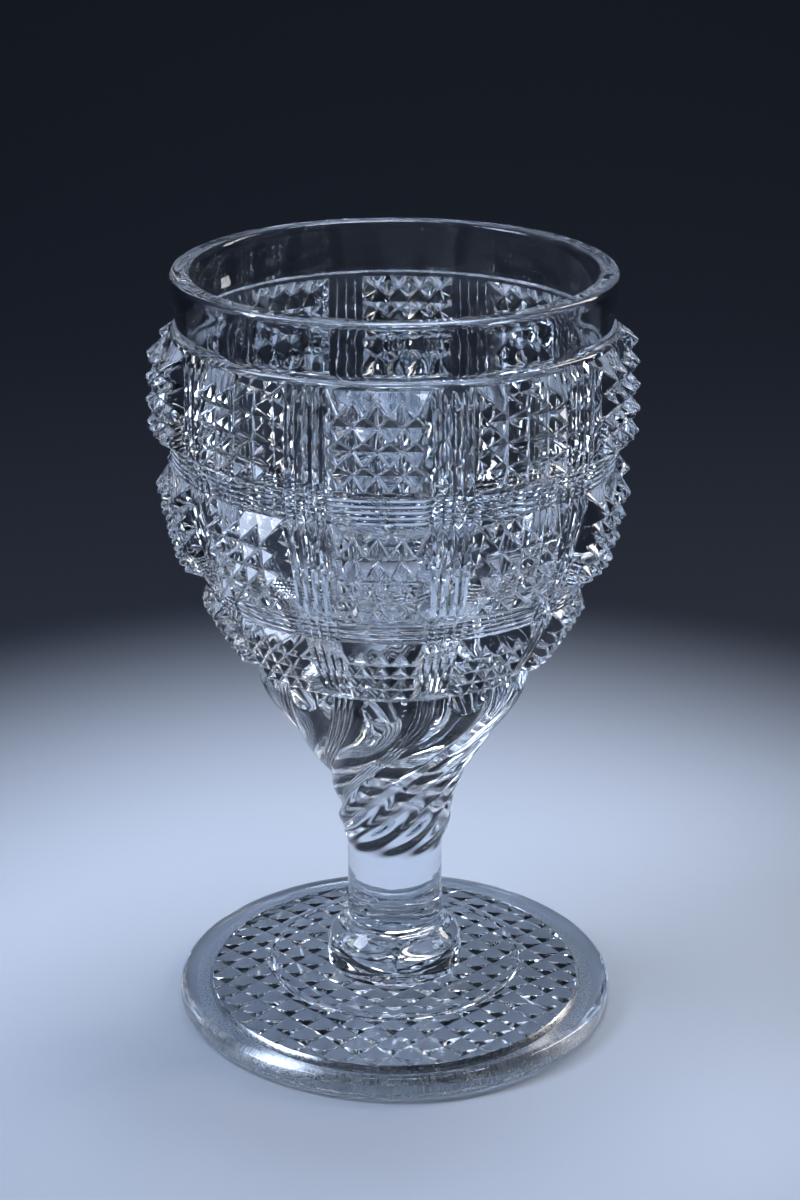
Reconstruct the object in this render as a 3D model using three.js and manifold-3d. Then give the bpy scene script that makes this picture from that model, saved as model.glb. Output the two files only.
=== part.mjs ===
// Pressed crystal goblet in four gathers of glass joined hot: bowl, twisted stem, collar and foot.
// Millimetres, +Z up. The foot rests on z = 0 and a diamond panel of the bowl is centred on -Y.
import * as THREE from "three";
import { mergeVertices } from "three/addons/utils/BufferGeometryUtils.js";
import Module from "manifold-3d";

// Foot
const FOOT_R = 43.3;
const FOOT_EDGE_T = 5.0; // thickness just inside the rounded edge
const FOOT_EDGE_W = 2.6; // width of that rounded edge, seen from above
const FOOT_T = 8.0; // thickness at the middle
const REST_IN_R = 36.8; // inner edge of the ring that meets the table
const REST_W = 2.5; // width of that ring
const FIELD_R = 36.3; // diamond field under the foot
const FIELD_PITCH = 4.7;
const FIELD_ROOF = 2.7; // height of the grooves between the diamonds
const FIELD_TIP = 1.3; // height of the diamond points over the table
const FIELD_TURN = 48; // degrees
const MOULD_RING_R = 24.6; // fine ring left by the mould on the upper face
const MOULD_RING_H = 0.35;

// Collar
const COLLAR_H = 11.0;
const COLLAR_R = 13.5;

// Stem
const STEM_H = 56.0;
const STEM_R = 9.35;
const NECK_R = 11.2; // where the twist is tightest
const PLAIN_H = 14.0; // plain rod over the collar
const TWIST = 170; // degrees, all of it
const TWIST_GROWTH = 2.2; // the turn builds up downwards
const FLUTE_DIP = 1.2; // the reeded grooves between the lobes
const SCALLOP_R = 7.5; // hollow at the top of each lobe
const SCALLOP_CUT = 1.9;

// Bowl
const COLUMNS = 10; // panels round the bowl
const PANEL_TURN = 25.4; // degrees taken by a panel, the rest is reeding
const STUDS = 4; // diamond points along each side of a panel
const SIDE_SLOPE_TURN = 1.5; // degrees that the outer facets spread past the stud grid
const FOOT_SLOPE = 0.6; // the same below the grid
const HEAD_SLOPE = 1.6; // and above it
const STUD_TIP = 4.0; // over the wall
const STUD_GROOVE = 1.8;
const LOW_RELIEF = 0.8; // share of the relief left at the foot of the lowest row
const BASE_R = 26.8; // where the bowl meets the stem
const BASE_LEDGE = 1.5;
const BELLY_OUT = 0.9; // the belly stands out past the rim
const BELLY_H = 51.0; // over the bowl's base
const LOW_ROW_H = 13.3;
const ROW_H = 19.0;
const BAND_H = 5.25; // reeded band between rows
const BAND_REEDS = 5;
const UPRIGHT_REEDS = 4;
const REED_H = 0.5;
const LEDGE_H = 1.4;
const RIM_H = 10.3;
const RIM_R = 41.1;
const RIM_FOOT_IN = 0.9; // the rim draws in towards the ledge
const RIM_WALL = 3.9;
const LIP_ROUND = 1.3;
const FLOOR_T = 4.5;

// Facets round the plain surfaces
const FACETS = 50;
const FOOT_FACETS = 48;
const COLLAR_FACETS = 36;
const TWIST_ROWS = 15;

const COLLAR_Z = FOOT_T;
const STEM_Z = COLLAR_Z + COLLAR_H;
const BOWL_Z = STEM_Z + STEM_H;
const BELLY_R = RIM_R + BELLY_OUT;
const PERIOD = 360 / COLUMNS;
const FIRST = -90 - PANEL_TURN / 2; // left edge of the front panel

const wasm = await Module();
wasm.setup();

const mix = THREE.MathUtils.lerp;
const range = (from, to, parts) => Array.from({ length: parts + 1 }, (_, i) => mix(from, to, i / parts));

// Cylindrical points are [degrees, radius, height].
function toXYZ([degrees, r, z]) {
  const turn = THREE.MathUtils.degToRad(THREE.MathUtils.euclideanModulo(degrees, 360));
  return [r * Math.cos(turn), r * Math.sin(turn), z];
}

// Triangles of one skin, drawn with the turn to the right and the profile upwards.
class Skin {
  constructor() {
    this.corners = [];
  }

  tri(a, b, c) {
    this.corners.push(...toXYZ(a), ...toXYZ(b), ...toXYZ(c));
  }

  diamond(corners, tip) {
    corners.forEach((corner, i) => this.tri(corner, corners[(i + 1) % corners.length], tip));
  }

  // A ridge with hipped ends between two lines of points.
  ridge(left, right, peaks) {
    const last = peaks.length - 1;
    this.tri(left[0], right[0], peaks[0]);
    for (let i = 0; i < last; i += 1) {
      this.tri(left[i], peaks[i], left[i + 1]);
      this.tri(left[i + 1], peaks[i], peaks[i + 1]);
      this.tri(peaks[i], right[i], right[i + 1]);
      this.tri(peaks[i], right[i + 1], peaks[i + 1]);
    }
    this.tri(left[last], peaks[last], right[last]);
  }

  // The strip between two whole turns of points, which may differ in number.
  strip(lower, upper) {
    let i = 0;
    let j = 0;
    while (i < lower.length - 1 || j < upper.length - 1) {
      const nextLow = i < lower.length - 1 ? lower[i + 1][0] - lower[0][0] : Infinity;
      const nextUp = j < upper.length - 1 ? upper[j + 1][0] - upper[0][0] : Infinity;
      if (nextLow <= nextUp) {
        if (lower[i][1] > 0) this.tri(lower[i], lower[i + 1], upper[j]);
        i += 1;
      } else {
        if (upper[j][1] > 0) this.tri(lower[i], upper[j + 1], upper[j]);
        j += 1;
      }
    }
  }

  geometry() {
    const loose = new THREE.BufferGeometry();
    loose.setAttribute("position", new THREE.Float32BufferAttribute(this.corners, 3));
    return mergeVertices(loose, 1e-4);
  }
}

const ring = (r, z, count, start = FIRST) => range(start, start + 360, count).map((turn) => [turn, r, z]);

function solid(geometry) {
  const bare = new THREE.BufferGeometry();
  bare.setAttribute("position", geometry.getAttribute("position"));
  bare.setIndex(geometry.index);
  const merged = mergeVertices(bare, 1e-4);
  const mesh = new wasm.Mesh({
    numProp: 3,
    vertProperties: merged.getAttribute("position").array,
    triVerts: new Uint32Array(merged.index.array),
  });
  return new wasm.Manifold(mesh);
}

function fromSolid(body) {
  const mesh = body.getMesh();
  const geometry = new THREE.BufferGeometry();
  const places = [];
  for (let i = 0; i < mesh.numVert; i += 1) {
    const at = i * mesh.numProp;
    places.push(mesh.vertProperties[at], mesh.vertProperties[at + 1], mesh.vertProperties[at + 2]);
  }
  geometry.setAttribute("position", new THREE.Float32BufferAttribute(places, 3));
  geometry.setIndex(Array.from(mesh.triVerts));
  return geometry;
}

// A profile of [radius, height] points turned about +Z.
function turned(points, segments) {
  const lathe = new THREE.LatheGeometry(points, segments);
  return lathe.rotateX(Math.PI / 2);
}

// Bowl

// The wall under the relief is an ellipse that passes through the base and the belly.
const BELLY_Z = BOWL_Z + BELLY_H;
const WALL_RISE = BELLY_H / Math.sqrt(1 - (BASE_R / BELLY_R) ** 2);

function onWall(degrees, z, relief) {
  const rise = (z - BELLY_Z) / WALL_RISE;
  const r = BELLY_R * Math.sqrt(1 - rise * rise);
  const slope = (-BELLY_R * BELLY_R * (z - BELLY_Z)) / (WALL_RISE * WALL_RISE * r);
  const tilt = Math.hypot(1, slope);
  return [degrees, r + relief / tilt, z - (relief * slope) / tilt];
}

// Edges of the studs along one side of a panel: an even grid, with the outer facets spreading past it.
const studEdges = (from, to, start, end) => [from, ...range(from + start, to - end, STUDS).slice(1, -1), to];

// Middles of the studs along one side.
const studMiddles = (from, to, start, end) => {
  const grid = range(from + start, to - end, 2 * STUDS);
  return grid.filter((_, i) => i % 2 === 1);
};

function reliefShare(z) {
  const foot = BOWL_Z + BASE_LEDGE;
  return mix(LOW_RELIEF, 1, THREE.MathUtils.clamp((z - foot) / LOW_ROW_H, 0, 1));
}

function diamondPanel(skin, turns, heights) {
  const edge = (i) => i === 0 || i === STUDS;
  const corner = (i, j) => {
    const relief = edge(i) || edge(j) ? 0 : STUD_GROOVE * reliefShare(heights[j]);
    return onWall(turns[i], heights[j], relief);
  };
  const turnTips = studMiddles(turns[0], turns[STUDS], SIDE_SLOPE_TURN, SIDE_SLOPE_TURN);
  const heightTips = studMiddles(heights[0], heights[STUDS], FOOT_SLOPE, HEAD_SLOPE);
  for (let i = 0; i < STUDS; i += 1) {
    for (let j = 0; j < STUDS; j += 1) {
      const tip = onWall(turnTips[i], heightTips[j], STUD_TIP * reliefShare(heightTips[j]));
      skin.diamond([corner(i, j), corner(i + 1, j), corner(i + 1, j + 1), corner(i, j + 1)], tip);
    }
  }
}

function peakLine(stops) {
  const inset = (stops[1] - stops[0]) * 0.15;
  return stops.map((stop, i) => stop + (i === 0 ? inset : i === stops.length - 1 ? -inset : 0));
}

function uprightReeds(skin, turns, heights) {
  for (let i = 0; i < UPRIGHT_REEDS; i += 1) {
    const left = heights.map((z) => onWall(turns[i], z, 0));
    const right = heights.map((z) => onWall(turns[i + 1], z, 0));
    const middle = mix(turns[i], turns[i + 1], 0.5);
    skin.ridge(left, right, peakLine(heights).map((z) => onWall(middle, z, REED_H)));
  }
}

function levelReeds(skin, turns, heights) {
  for (let j = 0; j < BAND_REEDS; j += 1) {
    const lower = turns.map((turn) => onWall(turn, heights[j], 0));
    const upper = turns.map((turn) => onWall(turn, heights[j + 1], 0));
    const middle = mix(heights[j], heights[j + 1], 0.5);
    skin.ridge(upper, lower, peakLine(turns).map((turn) => onWall(turn, middle, REED_H)));
  }
}

function crossedReeds(skin, turns, heights) {
  for (let i = 0; i < UPRIGHT_REEDS; i += 1) {
    for (let j = 0; j < BAND_REEDS; j += 1) {
      const corner = (a, b) => onWall(turns[i + a], heights[j + b], 0);
      const tip = onWall(mix(turns[i], turns[i + 1], 0.5), mix(heights[j], heights[j + 1], 0.5), REED_H);
      skin.diamond([corner(0, 0), corner(1, 0), corner(1, 1), corner(0, 1)], tip);
    }
  }
}

function buildBowl() {
  const skin = new Skin();
  const lowRow = BOWL_Z + BASE_LEDGE;
  const midRow = lowRow + LOW_ROW_H + BAND_H;
  const topRow = midRow + ROW_H + BAND_H;
  const ledge = topRow + ROW_H;
  const rimFoot = ledge + LEDGE_H;
  const top = rimFoot + RIM_H;
  const rows = [
    studEdges(lowRow, lowRow + LOW_ROW_H, FOOT_SLOPE, HEAD_SLOPE),
    studEdges(midRow, midRow + ROW_H, FOOT_SLOPE, HEAD_SLOPE),
    studEdges(topRow, ledge, FOOT_SLOPE, HEAD_SLOPE),
  ];
  const bands = [
    range(lowRow + LOW_ROW_H, midRow, BAND_REEDS),
    range(midRow + ROW_H, topRow, BAND_REEDS),
  ];
  const edgeTurns = [];
  for (let column = 0; column < COLUMNS; column += 1) {
    const left = FIRST + column * PERIOD;
    const panel = studEdges(left, left + PANEL_TURN, SIDE_SLOPE_TURN, SIDE_SLOPE_TURN);
    const reeds = range(left + PANEL_TURN, left + PERIOD, UPRIGHT_REEDS);
    rows.forEach((heights) => {
      diamondPanel(skin, panel, heights);
      uprightReeds(skin, reeds, heights);
    });
    bands.forEach((heights) => {
      levelReeds(skin, panel, heights);
      crossedReeds(skin, reeds, heights);
    });
    edgeTurns.push(...panel.slice(0, -1), ...reeds.slice(0, -1));
  }
  edgeTurns.push(FIRST + 360);

  const inner = RIM_R - RIM_WALL;
  const floor = BOWL_Z + FLOOR_T;
  const shape = new THREE.Path();
  shape.moveTo(RIM_R - RIM_FOOT_IN, rimFoot);
  shape.lineTo(RIM_R, top - LIP_ROUND);
  shape.quadraticCurveTo(RIM_R, top, RIM_R - LIP_ROUND, top);
  shape.lineTo(inner + LIP_ROUND, top);
  shape.quadraticCurveTo(inner, top, inner, top - LIP_ROUND);
  shape.lineTo(inner, BELLY_Z);
  shape.bezierCurveTo(inner - 0.3, mix(floor, BELLY_Z, 0.4), inner * 0.75, floor, 0, floor);
  const profile = shape.curves.flatMap((curve) => {
    const parts = curve.isLineCurve ? 1 : curve.isCubicBezierCurve ? 6 : 2;
    return curve.getPoints(parts).slice(0, -1);
  });
  const rings = [
    ring(0, BOWL_Z, 1),
    ring(BASE_R, BOWL_Z, FACETS),
    edgeTurns.map((turn) => onWall(turn, lowRow, 0)),
  ];
  skin.strip(rings[0], rings[1]);
  skin.strip(rings[1], rings[2]);
  let below = edgeTurns.map((turn) => onWall(turn, ledge, 0));
  profile.forEach((point) => {
    const next = ring(point.x, point.y, FACETS);
    skin.strip(below, next);
    below = next;
  });
  skin.strip(below, ring(0, floor, 1));
  return skin.geometry();
}

// Stem

function buildStem() {
  const top = BOWL_Z;
  const shoulder = top - STEM_H * 0.09;
  const neck = STEM_Z + PLAIN_H + STEM_H * 0.145;
  const plain = STEM_Z + PLAIN_H;
  const path = new THREE.Path();
  path.moveTo(BASE_R - 0.4, top);
  path.lineTo(BASE_R, shoulder);
  path.bezierCurveTo(
    mix(NECK_R, BASE_R, 0.64),
    mix(neck, shoulder, 0.69),
    NECK_R + 0.6,
    mix(neck, shoulder, 0.34),
    NECK_R,
    neck,
  );
  path.bezierCurveTo(NECK_R, mix(neck, plain, 0.5), STEM_R, mix(neck, plain, 0.6), STEM_R, plain);

  const skin = new Skin();
  const reeds = range(PANEL_TURN / 2, PERIOD - PANEL_TURN / 2, 4);
  const lobe = [-0.5, -0.3, 0, 0.3].map((share) => share * PANEL_TURN);
  const columns = [...lobe, ...reeds.slice(0, -1)];
  const dips = [1, 0.25, 0, 0.25, 1, 0.45, 1, 0.45];
  const row = (share) => {
    const crest = path.getPoint(1 - (1 - share) ** 1.25);
    const sunk = (top - crest.y) / (top - plain);
    const turn = TWIST * sunk ** TWIST_GROWTH;
    const depth = FLUTE_DIP * THREE.MathUtils.smoothstep(crest.y, plain, mix(plain, top, 0.3));
    const points = [];
    for (let period = 0; period < COLUMNS; period += 1) {
      columns.forEach((at, i) => {
        points.push([-90 + period * PERIOD + at - turn, crest.x - depth * dips[i], crest.y]);
      });
    }
    return [...points, [points[0][0] + 360, points[0][1], points[0][2]]];
  };
  const rings = range(1, 0, TWIST_ROWS).map(row);
  const start = rings[0][0][0];
  const bottom = ring(STEM_R, STEM_Z, FACETS, start);
  skin.strip(ring(0, STEM_Z, 1, start), bottom);
  skin.strip(bottom, rings[0]);
  rings.slice(1).forEach((upper, i) => skin.strip(rings[i], upper));
  skin.strip(rings[TWIST_ROWS], ring(0, top, 1, rings[TWIST_ROWS][0][0]));

  const cut = new THREE.SphereGeometry(SCALLOP_R, 16, 10);
  let body = solid(skin.geometry());
  for (let period = 0; period < COLUMNS; period += 1) {
    const [x, y, z] = toXYZ([-90 + period * PERIOD, BASE_R - SCALLOP_CUT + SCALLOP_R, top]);
    body = body.subtract(solid(cut.clone().translate(x, y, z)));
  }
  return fromSolid(body);
}

// Collar

function buildCollar() {
  const top = STEM_Z;
  const shoulder = mix(COLLAR_Z, top, 0.3);
  const path = new THREE.Path();
  path.moveTo(0, COLLAR_Z);
  path.lineTo(COLLAR_R - 0.3, COLLAR_Z);
  path.lineTo(COLLAR_R, shoulder);
  path.bezierCurveTo(
    COLLAR_R,
    mix(shoulder, top, 0.55),
    mix(STEM_R, COLLAR_R, 0.1),
    mix(shoulder, top, 0.6),
    STEM_R,
    top,
  );
  path.lineTo(0, top);
  const points = path.curves.flatMap((curve) => curve.getPoints(curve.isLineCurve ? 1 : 6).slice(0, -1));
  return turned([...points, new THREE.Vector2(0, top)], COLLAR_FACETS);
}

// Foot

// A square plate with diamond points on its underside, wider than the field it is cut from.
function diamondPlate() {
  const cells = 2 * Math.ceil(FIELD_R / FIELD_PITCH) + 2;
  const half = (cells * FIELD_PITCH) / 2;
  const back = mix(FIELD_ROOF, FOOT_EDGE_T, 0.4);
  const at = (i) => i * FIELD_PITCH - half;
  const corners = [];
  const tri = (a, b, c) => corners.push(...a, ...b, ...c);
  for (let i = 0; i < cells; i += 1) {
    const [low, high] = [at(i), at(i + 1)];
    for (let j = 0; j < cells; j += 1) {
      const rim = [
        [low, at(j), FIELD_ROOF],
        [low, at(j + 1), FIELD_ROOF],
        [high, at(j + 1), FIELD_ROOF],
        [high, at(j), FIELD_ROOF],
      ];
      const tip = [mix(low, high, 0.5), mix(at(j), at(j + 1), 0.5), FIELD_TIP];
      rim.forEach((corner, k) => tri(corner, rim[(k + 1) % 4], tip));
    }
    const walls = [
      [[low, -half], [high, -half]],
      [[half, low], [half, high]],
      [[-low, half], [-high, half]],
      [[-half, -low], [-half, -high]],
    ];
    walls.forEach(([a, b]) => {
      tri([...a, FIELD_ROOF], [...b, FIELD_ROOF], [...b, back]);
      tri([...a, FIELD_ROOF], [...b, back], [...a, back]);
      tri([...a, back], [...b, back], [0, 0, back]);
    });
  }
  const plate = new THREE.BufferGeometry();
  plate.setAttribute("position", new THREE.Float32BufferAttribute(corners, 3));
  return plate.rotateZ(THREE.MathUtils.degToRad(FIELD_TURN));
}

function buildFoot() {
  const restOut = REST_IN_R + REST_W;
  const edgeZ = FOOT_EDGE_T * 0.52;
  const slopeEnd = FOOT_T - 0.45;
  const path = new THREE.Path();
  path.moveTo(0, FIELD_ROOF);
  path.lineTo(REST_IN_R - 0.3, FIELD_ROOF);
  path.lineTo(REST_IN_R, 0);
  path.lineTo(restOut, 0);
  path.bezierCurveTo(mix(restOut, FOOT_R, 0.8), 0, FOOT_R, edgeZ * 0.2, FOOT_R, edgeZ);
  path.quadraticCurveTo(FOOT_R, FOOT_EDGE_T - 0.3, FOOT_R - FOOT_EDGE_W, FOOT_EDGE_T);
  path.lineTo(MOULD_RING_R + 0.9, slopeEnd);
  path.quadraticCurveTo(MOULD_RING_R, slopeEnd + 2 * MOULD_RING_H, MOULD_RING_R - 0.9, FOOT_T);
  path.lineTo(0, FOOT_T);
  const points = path.curves.flatMap((curve) => curve.getPoints(curve.isLineCurve ? 1 : 3).slice(0, -1));
  const body = solid(turned([...points, new THREE.Vector2(0, FOOT_T)], FOOT_FACETS));
  const cutter = new THREE.CylinderGeometry(FIELD_R, FIELD_R, 2 * FOOT_T, FOOT_FACETS);
  const field = solid(diamondPlate()).intersect(solid(cutter.rotateX(Math.PI / 2)));
  return fromSolid(body.add(field));
}

const glass = new THREE.MeshStandardMaterial({ color: 0xdfe8ee, roughness: 0.05 });
const goblet = new THREE.Group();
goblet.name = "goblet";

function place(name, geometry) {
  geometry.computeVertexNormals();
  const mesh = new THREE.Mesh(geometry, glass);
  mesh.name = name;
  goblet.add(mesh);
}

place("foot", buildFoot());
place("collar", buildCollar());
place("twisted_stem", buildStem());
place("bowl", buildBowl());

export default goblet;
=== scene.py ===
# Looks of the pressed crystal goblet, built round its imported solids. Sizes are in millimetres.
import math

import bpy
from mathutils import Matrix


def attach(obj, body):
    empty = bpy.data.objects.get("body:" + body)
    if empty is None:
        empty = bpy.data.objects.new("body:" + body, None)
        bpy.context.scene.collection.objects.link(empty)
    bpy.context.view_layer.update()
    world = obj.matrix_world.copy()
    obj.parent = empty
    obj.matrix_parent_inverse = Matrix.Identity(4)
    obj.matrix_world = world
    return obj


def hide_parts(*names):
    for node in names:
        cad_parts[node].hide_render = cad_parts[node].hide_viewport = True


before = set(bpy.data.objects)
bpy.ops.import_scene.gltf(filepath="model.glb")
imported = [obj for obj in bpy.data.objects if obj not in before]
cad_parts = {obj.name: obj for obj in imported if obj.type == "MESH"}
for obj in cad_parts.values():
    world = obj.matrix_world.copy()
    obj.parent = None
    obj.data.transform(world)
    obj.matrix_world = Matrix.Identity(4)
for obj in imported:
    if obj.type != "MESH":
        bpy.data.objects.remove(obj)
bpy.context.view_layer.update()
scene = bpy.context.scene

MM = 0.001

# Foot
FOOT_R = 43.3
FOOT_EDGE_T = 5.0
FOOT_EDGE_W = 2.6
FOOT_EDGE_EASE = 0.3
FOOT_WIDEST = 0.52  # share of the edge's thickness
FOOT_T = 8.0
FOOT_PARTS = 180
REST_IN_R = 36.8
REST_W = 2.5
RECESS_DRAFT = 0.3
FIELD_R = 36.3
FIELD_PITCH = 4.7
FIELD_ROOF = 2.7
FIELD_TIP = 1.3
FIELD_TURN = 48.0
FIELD_GROOVE = 0.16
TIP_BLUNT_W = 0.2
TIP_BLUNT_H = 0.12
PLATE_OVERLAP = 0.2
PLATE_BACK = 0.4  # share of the way from the field's roof up to the edge
CUTTER_H = 40.0
MOULD_RING_R = 24.6
MOULD_RING_W = 0.9
MOULD_RING_H = 0.35
MOULD_STEP = 0.45

# Collar
COLLAR_H = 11.0
COLLAR_R = 13.5
COLLAR_FOOT_IN = 0.3
COLLAR_DRUM = 0.3  # share of its height that is nearly straight
COLLAR_PARTS = 120

# Stem
STEM_H = 56.0
STEM_R = 9.35
NECK_R = 11.2
NECK_SHARE = 0.145  # of the stem's height, up from the end of the twist
SHOULDER_SHARE = 0.09  # of the stem's height, down from the bowl
SHOULDER_ROUND = 0.7
SHOULDER_ROWS = 12
PLAIN_H = 14.0
TWIST = 170.0
TWIST_GROWTH = 2.2
FLUTE_DIP = 1.2
FLUTE_RUN_IN = 0.3  # share of the twist's height
FLUTE_PARTS = 24
LOBE_PARTS = 26
LOBE_POWER = 2.7
RIB_RISE = 0.42
RIBS_START = 0.3
RIBS_END = 0.9
SCALLOP_R = 6.8
SCALLOP_CUT = 2.3
SCALLOP_EDGE = 0.25

# Bowl
COLUMNS = 10
FRONT = -90
PANEL_TURN = 25.4
STUDS = 4
SIDE_SLOPE_TURN = 1.5
FOOT_SLOPE = 0.6
HEAD_SLOPE = 1.6
STUD_TIP = 4.3
STUD_GROOVE = 1.8
LOW_RELIEF = 0.8
LOW_EASE = 0.5
LOW_HEAD_SLOPE = 0.8
BASE_R = 26.8
BASE_SEAT_IN = 0.4
BASE_LEDGE = 1.5
BELLY_R = 42.0
BELLY_H = 51.0
LOW_ROW_H = 13.3
ROW_H = 19.0
BAND_H = 5.25
BAND_REEDS = 5
UPRIGHT_REEDS = 4
REED_H = 0.5
LEDGE_H = 1.4
RIM_H = 10.3
RIM_R = 41.1
RIM_FOOT_IN = 0.9
RIM_WALL = 3.9
LIP_ROUND = 1.3
FLOOR_T = 4.5

# Fire polish: rounded hips, waviness, the turn at which an edge is sharp, and how near is joined
HIP_ROUND = 0.34
HIP_ROWS = 3
HIP_CLIMB = 0.9
WAVE_HEIGHT = 0.16
WAVE_LENGTH = 22.0
TABLE_FLAT = 0.5
TABLE_CLEAR = 3.0
CREASE_TURN = 24
SEAM_SURE = 0.99
WELD = 0.002
ON_AXIS = 0.01

COLLAR_Z = FOOT_T
STEM_Z = COLLAR_Z + COLLAR_H
TWIST_END_Z = STEM_Z + PLAIN_H
BOWL_Z = STEM_Z + STEM_H
FLUTE_FULL_Z = TWIST_END_Z + FLUTE_RUN_IN * (BOWL_Z - TWIST_END_Z)
BELLY_Z = BOWL_Z + BELLY_H
LOW_Z = BOWL_Z + BASE_LEDGE
MID_Z = LOW_Z + LOW_ROW_H + BAND_H
TOP_Z = MID_Z + ROW_H + BAND_H
LEDGE_Z = TOP_Z + ROW_H
RIM_Z = LEDGE_Z + LEDGE_H
LIP_Z = RIM_Z + RIM_H
WALL_RISE = BELLY_H / math.sqrt(1 - (BASE_R / BELLY_R) ** 2)
PERIOD = 360 / COLUMNS
HALF_PANEL = PANEL_TURN / 2
SCALLOP_CENTRE = BASE_R - SCALLOP_CUT + SCALLOP_R

# Kinds of node that come up often
MATH = "ShaderNodeMath"
VECTOR = "ShaderNodeVectorMath"
RANGE = "ShaderNodeMapRange"
NOISE = "ShaderNodeTexNoise"
SPLIT = "ShaderNodeSeparateXYZ"
JOIN = "ShaderNodeCombineXYZ"
MIX = "ShaderNodeMix"
COMPARE = "FunctionNodeCompare"
COUNT_MATH = "FunctionNodeIntegerMath"
EDGE_ANGLE = "GeometryNodeInputMeshEdgeAngle"
TAG = "GeometryNodeInputNamedAttribute"
STORE = "GeometryNodeStoreNamedAttribute"
PLACE = "GeometryNodeInputPosition"


def mix(a, b, share):
    return a + (b - a) * share


def linear(code):
    """An sRGB hex colour as linear red, green, blue and 1."""
    parts = [int(code[i : i + 2], 16) / 255 for i in (1, 3, 5)]
    return (*((c / 12.92 if c <= 0.04045 else ((c + 0.055) / 1.055) ** 2.4) for c in parts), 1.0)


def add(tree, kind, sockets=(), **settings):
    """Adds one node with its settings.

    Sockets go by order or by name, and a node given as a value is linked."""
    node = tree.nodes.new(kind)
    for name, value in settings.items():
        setattr(node, name, value)
    shown = [socket for socket in node.inputs if socket.enabled]
    for key, value in sockets.items() if isinstance(sockets, dict) else enumerate(sockets):
        socket = shown[key] if isinstance(key, int) else next(s for s in shown if s.name == key)
        if isinstance(value, bpy.types.Node):
            value = next(s for s in value.outputs if s.enabled)
        if isinstance(value, bpy.types.NodeSocket):
            tree.links.new(value, socket)
        elif value is not None:
            socket.default_value = value
    return node


def bare_tree(owner):
    """The emptied node tree of a material or world."""
    owner.use_nodes = True
    owner.node_tree.nodes.clear()
    return owner.node_tree


# Glass. Waves, grains, rings and patches are in millimetres, turns in radians. Dull is roughness.

GLASS_TINT = "#F2F7FC"
GLASS_IOR = 1.545
POLISH_WAVE = 5.0
CHILL_GRAIN = 1.1
CHILL_SHARE = 0.1
TOOL_RING = 0.9
RING_STRETCH = 0.02
SKIN_STRENGTH = 0.25
SKIN_DEPTH = 0.12
FILM_PATCH = 25.0
FILM_FROM, FILM_FULL = 0.5, 0.75
FILM_DULL = 0.012

SCRATCH_LENGTH = 14
SCRATCH_SPACING = 1.8
SCRATCH_HALF = 0.012  # half its width, as a share of the spacing: drawn 0.04 mm wide to show
SCRATCH_PATCH = 8.0
SCRATCH_FROM = 0.53
GRIT_GRAIN = 0.4
GRIT_FROM, GRIT_FULL = 0.38, 0.62
GRIT_LEAST = 0.5

REST_FADE_IN = 0.5
REST_FADE_OUT = 0.6
REST_WORN_LOW, REST_WORN_HIGH = 0.6, 2.4
REST_DULL = 0.4
EDGE_DULL = 0.2
EDGE_SCRATCH_TURNS = (0.5, 2.2)
LIP_WORN = 1.0
LIP_DULL = 0.12
LIP_SCRATCH_TURN = 1.1
TIP_WORN = 0.6
TIP_DULL = 0.12


def crystal(name, wear=None, tool_marks=0.0):
    """Lead crystal, pressed and fire-polished: clear and heavy, faintly cool, with a waved skin.

    Wear adds the nodes that say how dull use has made each point. Tool marks are rings left by
    shaping tools."""
    material = bpy.data.materials.new(name)
    tree = bare_tree(material)
    place = add(tree, "ShaderNodeTexCoord").outputs["Object"]
    # Fire polish leaves soft waves, and the iron mould a fine chill on top of them.
    wave = add(tree, NOISE, {"Vector": place, "Scale": 1 / (POLISH_WAVE * MM), "Detail": 2.0})
    chill = add(tree, NOISE, {"Vector": place, "Scale": 1 / (CHILL_GRAIN * MM), "Detail": 1.0})
    skin = add(tree, MATH, [chill, CHILL_SHARE, wave], operation="MULTIPLY_ADD")
    if tool_marks:
        flat = add(tree, VECTOR, [place, (RING_STRETCH, RING_STRETCH, 1.0)], operation="MULTIPLY")
        rings = add(tree, NOISE, {"Vector": flat, "Scale": 1 / (TOOL_RING * MM), "Detail": 1.0})
        skin = add(tree, MATH, [rings, tool_marks, skin], operation="MULTIPLY_ADD")
    bump = add(
        tree,
        "ShaderNodeBump",
        {"Strength": SKIN_STRENGTH, "Distance": SKIN_DEPTH * MM, "Height": skin},
    )
    # A thin film from handling.
    patch = add(tree, NOISE, {"Vector": place, "Scale": 1 / (FILM_PATCH * MM), "Detail": 3.0})
    dull = add(
        tree,
        RANGE,
        {"Value": patch, "From Min": FILM_FROM, "From Max": FILM_FULL, "To Max": FILM_DULL},
    )
    if wear:
        dull = add(tree, MATH, [dull, wear(tree, place)], operation="MAXIMUM")
    glass = add(
        tree,
        "ShaderNodeBsdfPrincipled",
        {
            "Base Color": linear(GLASS_TINT),
            "Roughness": dull,
            "IOR": GLASS_IOR,
            "Transmission Weight": 1.0,
            "Normal": bump,
        },
    )
    add(tree, "ShaderNodeOutputMaterial", {"Surface": glass})
    return material


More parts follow.
